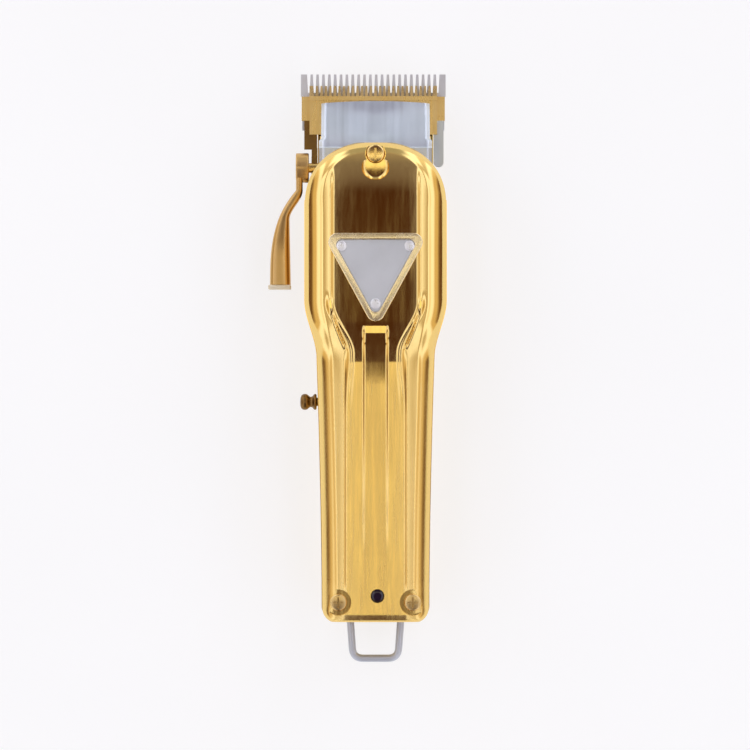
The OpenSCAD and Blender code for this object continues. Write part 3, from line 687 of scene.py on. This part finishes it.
def build_base():
    base = shell_mesh("base_cover", base_z, SPLIT_Z, 0, WALL, lambda x, y: base_z(x, y) + WALL)
    bed_z = box_mm("tension_spring")[0][2]
    loop_z = joint_mm("loop_hinge")[2]
    jack = centre_mm("charge_socket")
    knob = centre_mm("switch_knob")
    slot = round_loop([(knob[1] - 1.45, knob[2] - 1.45), (knob[1] + 5.45, knob[2] - 1.45),
                       (knob[1] + 5.45, knob[2] + 1.45), (knob[1] - 1.45, knob[2] + 1.45)], 1.3)
    cut(base,
        block("cut_throat", (-30, 62, bed_z), (30, 100, SPLIT_Z + 2)),
        block("cut_pocket", (-9.5, TAIL_Y - 2, loop_z - 4), (9.5, TAIL_Y + 2.2, SPLIT_Z + 2)),
        revolve("cut_jack", [(3.66, 0), (3.66, 12)], (0, TAIL_Y - 2, jack[2]), (0, 1, 0)),
        prism("cut_slot", slot, -19.5, -14.5, "X"), smooth_deg=50)
    bed = prism("bed", [(66, 4.5), (78.6, 6.4), (90, 7.6), (93, 8.4), (93, bed_z), (66, bed_z)], -18, 18, "X")
    pivot = joint_mm("lever_pivot")
    post = prism("post", round_loop([(pivot[1] - 4, bed_z - 0.5), (pivot[1] + 4, bed_z - 0.5),
                                     (pivot[1] + 4, pivot[2] + 4), (pivot[1] - 4, pivot[2] + 4)], 1.2),
                 -15.9, -12.9, "X")
    pieces = [base, bevel(bed, 0.3, 2), bevel(post, 0.25, 2)]
    pieces.append(bevel(block("pocket_back", (-13.6, -63.9, 3), (13.6, -62.6, SPLIT_Z)), 0.15, 2))
    pieces.append(bevel(block("pocket_floor", (-9.6, -67.0, 11.3), (9.6, -63.5, 12.5)), 0.15, 2))
    for side in (-1, 1):
        low, high = sorted((side * 9.5, side * 13.4))
        pieces.append(bevel(block("cheek", (low, -66.9, 12.5), (high, -63.5, SPLIT_Z)), 0.15, 2))
    joined = join(pieces, "base_cover")
    shade(joined, 50)
    return place(joined, "shell_gold", "housing", "gold_shell", "base_shell")


# ---------------------------------------------------------------- nose plate
def build_nose_plate():
    low, high = box_mm("nose_plate")
    front, back, step_y = high[1], low[1], 80.6
    narrow, wide, sheet = high[0] - 0.7, high[0], 1.2

    def scoop(y):
        return 15.6 + 9.4 * smooth((front + 4 - y) / 21) ** 1.15 if y > 78 else 25.05

    rows = [back + (front - back) * k / 90 for k in range(91)]
    columns = [k / 48 for k in range(-48, 49)]
    verts, faces = [], []
    for layer in (0, 1):
        for y in rows:
            half = mix(narrow, wide, 1 - step(y, step_y, 0.8)) - layer * sheet
            for c in columns:
                hollow = 0.9 * (1 - smooth(abs(c) / 0.72)) * smooth((y - 79) / 4) * smooth((front - y) / 5)
                roll = 1.1 * smooth((abs(c) - 0.90) / 0.10) ** 2
                bow = 0.75 * c * c * smooth((y - 86) / 7)
                verts.append((c * half, y - bow, scoop(y) - hollow - roll - layer * sheet))
    wide_n, tall_n = len(columns), len(rows)
    size = wide_n * tall_n
    for layer in (0, 1):
        for j in range(tall_n - 1):
            for i in range(wide_n - 1):
                a = layer * size + j * wide_n + i
                quad = (a, a + 1, a + 1 + wide_n, a + wide_n)
                faces.append(quad if layer == 0 else tuple(reversed(quad)))
    for end in (0, tall_n - 1):
        for i in range(wide_n - 1):
            a = end * wide_n + i
            faces.append((a, a + 1, a + 1 + size, a + size))
    for side in (0, 1):
        edge = [j * wide_n + side * (wide_n - 1) for j in range(tall_n)]
        foot = len(verts)
        for layer in (0, 1):
            for index in edge:
                x, y, _ = verts[index]
                verts.append((x - math.copysign(layer * sheet, x), y, 14.7))
        for j in range(tall_n - 1):
            faces.append((edge[j], edge[j + 1], foot + j + 1, foot + j))
            faces.append((edge[j] + size, edge[j + 1] + size, foot + tall_n + j + 1, foot + tall_n + j))
            faces.append((foot + j, foot + j + 1, foot + tall_n + j + 1, foot + tall_n + j))
        for j in (0, tall_n - 1):
            faces.append((edge[j], foot + j, foot + tall_n + j, edge[j] + size))
    sheet_metal = finish_mesh("nose_cover", verts, faces, 40)
    boss_x, boss_y, _ = centre_mm("lid_screw_top")
    boss_profile = rounded([(1.15, 0), (2.8, 0), (2.8, 6.2)], 0.3)
    boss = revolve("nose_boss", boss_profile, (boss_x, boss_y, 18.5), (0, 0, 1), 48)
    plate = join([sheet_metal, boss], "nose_cover")
    shade(plate, 40)
    return place(plate, "brushed_steel", "housing", "brushed_steel", "nose_plate")


# ---------------------------------------------------------------- screws and badge
def cross_screw(name, x, y, top, head_r, head_h, recess=0.62):
    """Domed pan head with a cross recess and a short shank."""
    profile = [(0.02, -4.0), (head_r * 0.4, -4.0), (head_r * 0.4, -head_h), (head_r - 0.05, -head_h)]
    for k in range(9):
        angle = math.radians(90 * k / 8)
        across = head_r - 0.32 * head_h * (1 - math.cos(angle))
        profile.append((across, -head_h * 0.45 * (1 - math.sin(angle)) - 0.12))
    profile += [(head_r * 0.45, -0.03), (0.02, 0.0)]
    head = revolve(name, profile, (x, y, top), (0, 0, 1), 56, 40)
    recess_cuts = []
    for quarter in (0, 1):
        wide, slim = head_r * recess, head_r * 0.11
        half = (wide, slim) if quarter == 0 else (slim, wide)
        outline = [(x - half[0], y - half[1]), (x + half[0], y - half[1]),
                   (x + half[0], y + half[1]), (x - half[0], y + half[1])]
        recess_cuts.append(prism("recess", outline, top - head_h * 0.6, top + 1))
    return cut(head, *recess_cuts, smooth_deg=40)


def build_screws():
    x, y, _ = centre_mm("lid_screw_top")
    top = box_mm("lid_screw_top")[1][2]
    place(cross_screw("top_screw", x, y, top, 2.9, 1.6), "trim_gold", "housing", "gold_trim", "lid_screw_top")
    low, high = box_mm("lid_screws_tail")
    reach, y = high[0] - 2.6, (low[1] + high[1]) / 2
    pair = [cross_screw("tail_screw", side * reach, y, high[2], 2.6, 1.5) for side in (-1, 1)]
    joined = join(pair, "tail_screws")
    shade(joined, 40)
    place(joined, "cutter_gold", "housing", "gold_trim", "lid_screws_tail")
    low, high = box_mm("badge_screws")
    spots = [(low[0] + 1.7, high[1] - 1.7), (high[0] - 1.7, high[1] - 1.7), (0.0, low[1] + 1.7)]
    trio = [cross_screw("badge_screw", x, y, high[2], 1.6, 0.65) for x, y in spots]
    joined = join(trio, "badge_screw_set")
    shade(joined, 40)
    place(joined, "bright_steel", "housing", "bright_steel", "badge_screws")


def build_badge():
    low, high = box_mm("badge_frame")
    bottom, top = low[2] + 0.4, high[2]
    body = prism("badge_surround", badge_outline(0, 2.8), bottom, top)
    cut(body, prism("cut_well", badge_outline(1.9, 1.7), top - 0.8, top + 2))
    bevel(body, 0.72, 5, 50)
    place(body, "frame_gold", "housing", "gold_trim", "badge_frame")
    plate = bevel(prism("badge_panel", badge_outline(1.97, 1.65), top - 0.9, top - 0.42), 0.12, 2)
    ring = prism("groove", badge_outline(2.7, 1.4), top - 0.5, top + 1)
    inner = prism("groove_core", badge_outline(3.0, 1.25), top - 0.9, top + 1.5)
    cut(ring, inner)
    cut(plate, ring)
    place(plate, "badge_grey", "housing", "badge_grey", "badge_plate")


def build_lens():
    x, y, _ = centre_mm("indicator_lens")
    top = box_mm("indicator_lens")[1][2]
    profile = rounded([(0.02, -2.6), (2.05, -2.6), (2.05, -0.15), (1.2, 0.0), (0.02, 0.0)], 0.2)
    lens = revolve("indicator_window", profile, (x, y, top - 0.15), (0, 0, 1), 48, 50)
    place(lens, "dark_lens", "housing", "dark_lens", "indicator_lens")


# ---------------------------------------------------------------- lever
LEVER_START_Y = 65.0
LEVER_LEN = 29.3


def lever_outer(y):
    return -24.7 - 8.3 * (1 - clamp01((y - 35.7) / LEVER_LEN) ** 3)


def lever_inner(y):
    return -22.6 - 4.1 * smooth((LEVER_START_Y - y) / 9) + 0.4 * clamp01((56 - y) / 20)


def lever_half(y):
    return 3.5 + 1.9 * smooth((66 - y) / 22)


def build_lever():
    pivot = joint_mm("lever_pivot")
    low, high = box_mm("taper_lever")
    rings = []
    stations = [low[1] + (68.9 - low[1]) * k / 60 for k in range(61)]
    for y in stations:
        inner, outer = lever_inner(min(y, LEVER_START_Y)), lever_outer(min(y, LEVER_START_Y))
        middle, half = (inner + outer) / 2, (inner - outer) / 2
        ring = []
        for k in range(48):
            angle = 2 * math.pi * k / 48
            c, s = math.cos(angle), math.sin(angle)
            dish = 0.35 * smooth((60 - y) / 10) * bump(s, 0.8) * (1 if c < 0 else 0)
            ring.append((middle + half * math.copysign(abs(c) ** 0.5, c) + dish, y,
                         pivot[2] + lever_half(y) * math.copysign(abs(s) ** 0.55, s)))
        rings.append(ring)
    arm = loft("lever_arm", rings, 45)
    hub_len = high[0] + 24.7
    seat = hub_len - 1.3
    bore, hub_r, sink_r = 1.56, 4.6, 2.95
    hub_profile = rounded([(bore, 0.0), (hub_r, 0.0), (hub_r, hub_len), (sink_r, hub_len), (sink_r, seat),
                           (bore, seat)], 0.4)
    hub = revolve("lever_hub", hub_profile, (high[0], pivot[1], pivot[2]), (-1, 0, 0), 72, 45)
    lever = join([arm, hub], "taper_thumb_lever")
    shade(lever, 45)
    place(lever, "lever_gold", "lever", "lever_gold", "taper_lever")
    low, high = box_mm("lever_tip")
    outline = round_loop([(low[1], low[2]), (high[1], low[2]), (high[1], high[2]), (low[1], high[2])], 0.6)
    tip = bevel(prism("lever_end_cap", outline, low[0], high[0], "X"), 0.4, 3)
    place(tip, "ivory", "lever", "ivory", "lever_tip")


# ---------------------------------------------------------------- switch knob and loop
def build_knob():
    low, high = box_mm("switch_knob")
    middle = centre_mm("switch_knob")
    base, tip = -high[0], -low[0]
    profile = [(0.02, base), (1.3, base), (1.3, 18.3), (2.25, 18.3), (2.5, 18.6), (2.5, 19.0),
               (1.75, 19.6), (1.55, 20.3), (2.1, 20.9), (2.5, 21.4), (2.5, 22.3), (2.1, 23.0),
               (1.2, tip - 0.05), (0.02, tip)]
    knob = revolve("switch_button", rounded(profile, 0.25), (0, middle[1], middle[2]), (-1, 0, 0), 56, 50)
    # Darkened gold on the knob: painted shade for the dark reflections it shows.
    place(knob, "dark_gold", "switch", "dark_gold", "switch_knob")


def build_loop():
    low, high = box_mm("hanging_loop")
    hinge = joint_mm("loop_hinge")
    radius = (high[2] - low[2]) / 2
    bar_y = low[1] + radius
    top_x, end_x, corner = 8.0, 6.95, 2.6
    half = [(high[0], hinge[1]), (top_x, hinge[1]), (end_x, bar_y), (0, bar_y)]
    points = [Vector((x, y, hinge[2])) for x, y in half]

    def fillet(before, at, after, reach):
        a, b = at + (before - at).normalized() * reach, at + (after - at).normalized() * reach
        return [a * (1 - k / 8) ** 2 + at * 2 * k / 8 * (1 - k / 8) + b * (k / 8) ** 2 for k in range(9)]

    path = [points[0]] + fillet(*points[0:3], 1.3) + fillet(*points[1:4], corner * 1.2)
    mirrored = [Vector((-p.x, p.y, p.z)) for p in reversed(path)]
    wire = tube("hanging_wire", [tuple(p) for p in path + mirrored], radius, 24)
    place(wire, "wire_steel", "loop", "wire_steel", "hanging_loop")


# ---------------------------------------------------------------- carried-over nodes
NODE_MATERIALS = {
    "cutter_gold": ["cutter_blade", "comb_carrier"],
    "blade_steel": ["comb_blade"],
    "brushed_steel": ["carrier_arm", "tension_spring"],
    # Darkened gold on the lever link: painted shade for the dark reflections it shows.
    "dark_gold": ["lever_link"],
    "trim_gold": ["lever_pivot_screw"],
    "bright_steel": ["comb_screws", "follower_screws", "motor_screws", "spring_screws", "eccentric_pin",
                     "motor_shaft", "crank_pin"],
    "black_plastic": ["charge_socket", "battery_cradle", "motor_end_cap", "switch_body", "lever_washer",
                      "switch_slider"],
    "white_plastic": ["indicator_led", "battery_straps", "motor_bracket", "drive_follower", "eccentric_cam"],
    "board_green": ["circuit_board"],
    "cell_blue": ["battery_cell"],
    "can_nickel": ["motor_can"],
    "rubber_black": ["motor_sleeve"],
    "wire_red": ["motor_leads"],
}


def dress_nodes():
    for material, nodes in NODE_MATERIALS.items():
        for node in nodes:
            slots = frame["nodes"][node].material_slots
            for slot in slots:
                slot.link = "OBJECT"
                slot.material = MATERIALS[material]


# ---------------------------------------------------------------- camera, floor and light
CAMERA_MM = 1600.0
FRAME_MM = 232.5
SENSOR_MM = 36.0
VIEW_CENTRE = (-0.16, 7.75, 20.0)


def build_camera():
    data = bpy.data.cameras.new("camera")
    data.sensor_width = SENSOR_MM
    data.lens = SENSOR_MM * CAMERA_MM / FRAME_MM
    camera = bpy.data.objects.new("camera", data)
    camera.location = Vector((VIEW_CENTRE[0], VIEW_CENTRE[1], VIEW_CENTRE[2] + CAMERA_MM)) * MM
    bpy.context.scene.collection.objects.link(camera)
    bpy.context.scene.camera = camera


def build_floor():
    size = 3000
    verts = [(-size, -size, -0.6), (size, -size, -0.6), (size, size, -0.6), (-size, size, -0.6)]
    floor = finish_mesh("floor", verts, [(0, 1, 2, 3)])
    mat, nodes, links, shader = new_material("floor_white")
    shade_noise = mapped_noise(nodes, links, (1, 1, 1), 6, 2)
    links.new(colour_between(nodes, links, shade_noise, (0.30, 0.30, 0.305), (0.32, 0.32, 0.325)),
              shader.inputs["Base Color"])
    shader.inputs["Roughness"].default_value = 0.9
    shader.inputs["Emission Color"].default_value = (1, 1, 1, 1)
    shader.inputs["Emission Strength"].default_value = 0.70
    floor.data.materials.append(mat)


# Studio surroundings: radiance by direction, as (position, colour) stops.
# Across runs from -1 (left) to 1 (right), along from -1 (tail side) to 1 (blade side).
STRENGTH = 2.0
PALE = (0.62, 0.66, 0.82)
AMBER = (0.36, 0.30, 0.20)
UMBER = (0.045, 0.030, 0.016)
MELLOW = (0.26, 0.24, 0.20)
NONE = (0.0, 0.0, 0.0)
ACROSS = [(-1.0, UMBER), (-0.96, UMBER), (-0.90, AMBER), (-0.80, AMBER), (-0.72, PALE), (-0.60, PALE),
          (-0.54, MELLOW), (-0.42, MELLOW), (-0.37, PALE), (-0.27, PALE), (-0.20, NONE), (0.20, NONE),
          (0.27, PALE), (0.37, PALE), (0.42, MELLOW), (0.54, MELLOW), (0.60, PALE), (0.72, PALE),
          (0.80, AMBER), (0.90, AMBER), (0.96, UMBER), (1.0, UMBER)]
ALONG = [(-1.0, (0.16, 0.13, 0.09)), (-0.95, (0.10, 0.08, 0.05)), (-0.91, (0.036, 0.014, 0.006)),
         (0.34, (0.036, 0.014, 0.006)), (0.48, (0.10, 0.082, 0.090)), (0.66, (0.12, 0.105, 0.12)),
         (0.85, (0.24, 0.22, 0.22)), (1.0, (0.22, 0.23, 0.24))]


def direction_ramp(nodes, links, value, stops):
    ramp = nodes.new("ShaderNodeValToRGB")
    elements = ramp.color_ramp.elements
    while len(elements) < len(stops):
        elements.new(0.5)
    for element, (at, colour) in zip(elements, stops):
        element.position = (at + 1) / 2
        element.color = (*colour, 1) if isinstance(colour, tuple) else (colour, colour, colour, 1)
    spread = nodes.new("ShaderNodeMapRange")
    spread.inputs["From Min"].default_value = -1
    links.new(value, spread.inputs["Value"])
    links.new(spread.outputs["Result"], ramp.inputs["Fac"])
    return ramp.outputs["Color"]


def build_surroundings():
    world = bpy.data.worlds.new("studio")
    bpy.context.scene.world = world
    world.use_nodes = True
    nodes, links = world.node_tree.nodes, world.node_tree.links
    back = nodes["Background"]
    coord = nodes.new("ShaderNodeTexCoord")
    split = nodes.new("ShaderNodeSeparateXYZ")
    links.new(coord.outputs["Generated"], split.inputs["Vector"])
    total = nodes.new("ShaderNodeVectorMath")
    total.operation = "ADD"
    links.new(direction_ramp(nodes, links, split.outputs["X"], ACROSS), total.inputs[0])
    links.new(direction_ramp(nodes, links, split.outputs["Y"], ALONG), total.inputs[1])
    links.new(total.outputs["Vector"], back.inputs["Color"])
    back.inputs["Strength"].default_value = STRENGTH


def build_lights():
    """One soft box high above, just past the blades' side of the view, and the studio around."""
    bpy.context.scene.view_settings.view_transform = "Standard"
    data = bpy.data.lights.new("soft_box", "AREA")
    data.shape = "RECTANGLE"
    data.size, data.size_y = 0.52, 0.14
    data.energy = 1.4 * math.pi * data.size * data.size_y
    data.color = (1.0, 0.93, 0.66)
    light = bpy.data.objects.new("soft_box", data)
    light.location = (0, 0.072, 1.03)
    bpy.context.scene.collection.objects.link(light)
    build_surroundings()


build_camera()
build_lid()
build_base()
build_nose_plate()
build_screws()
build_badge()
build_lens()
build_lever()
build_knob()
build_loop()
dress_nodes()
build_floor()
build_lights()
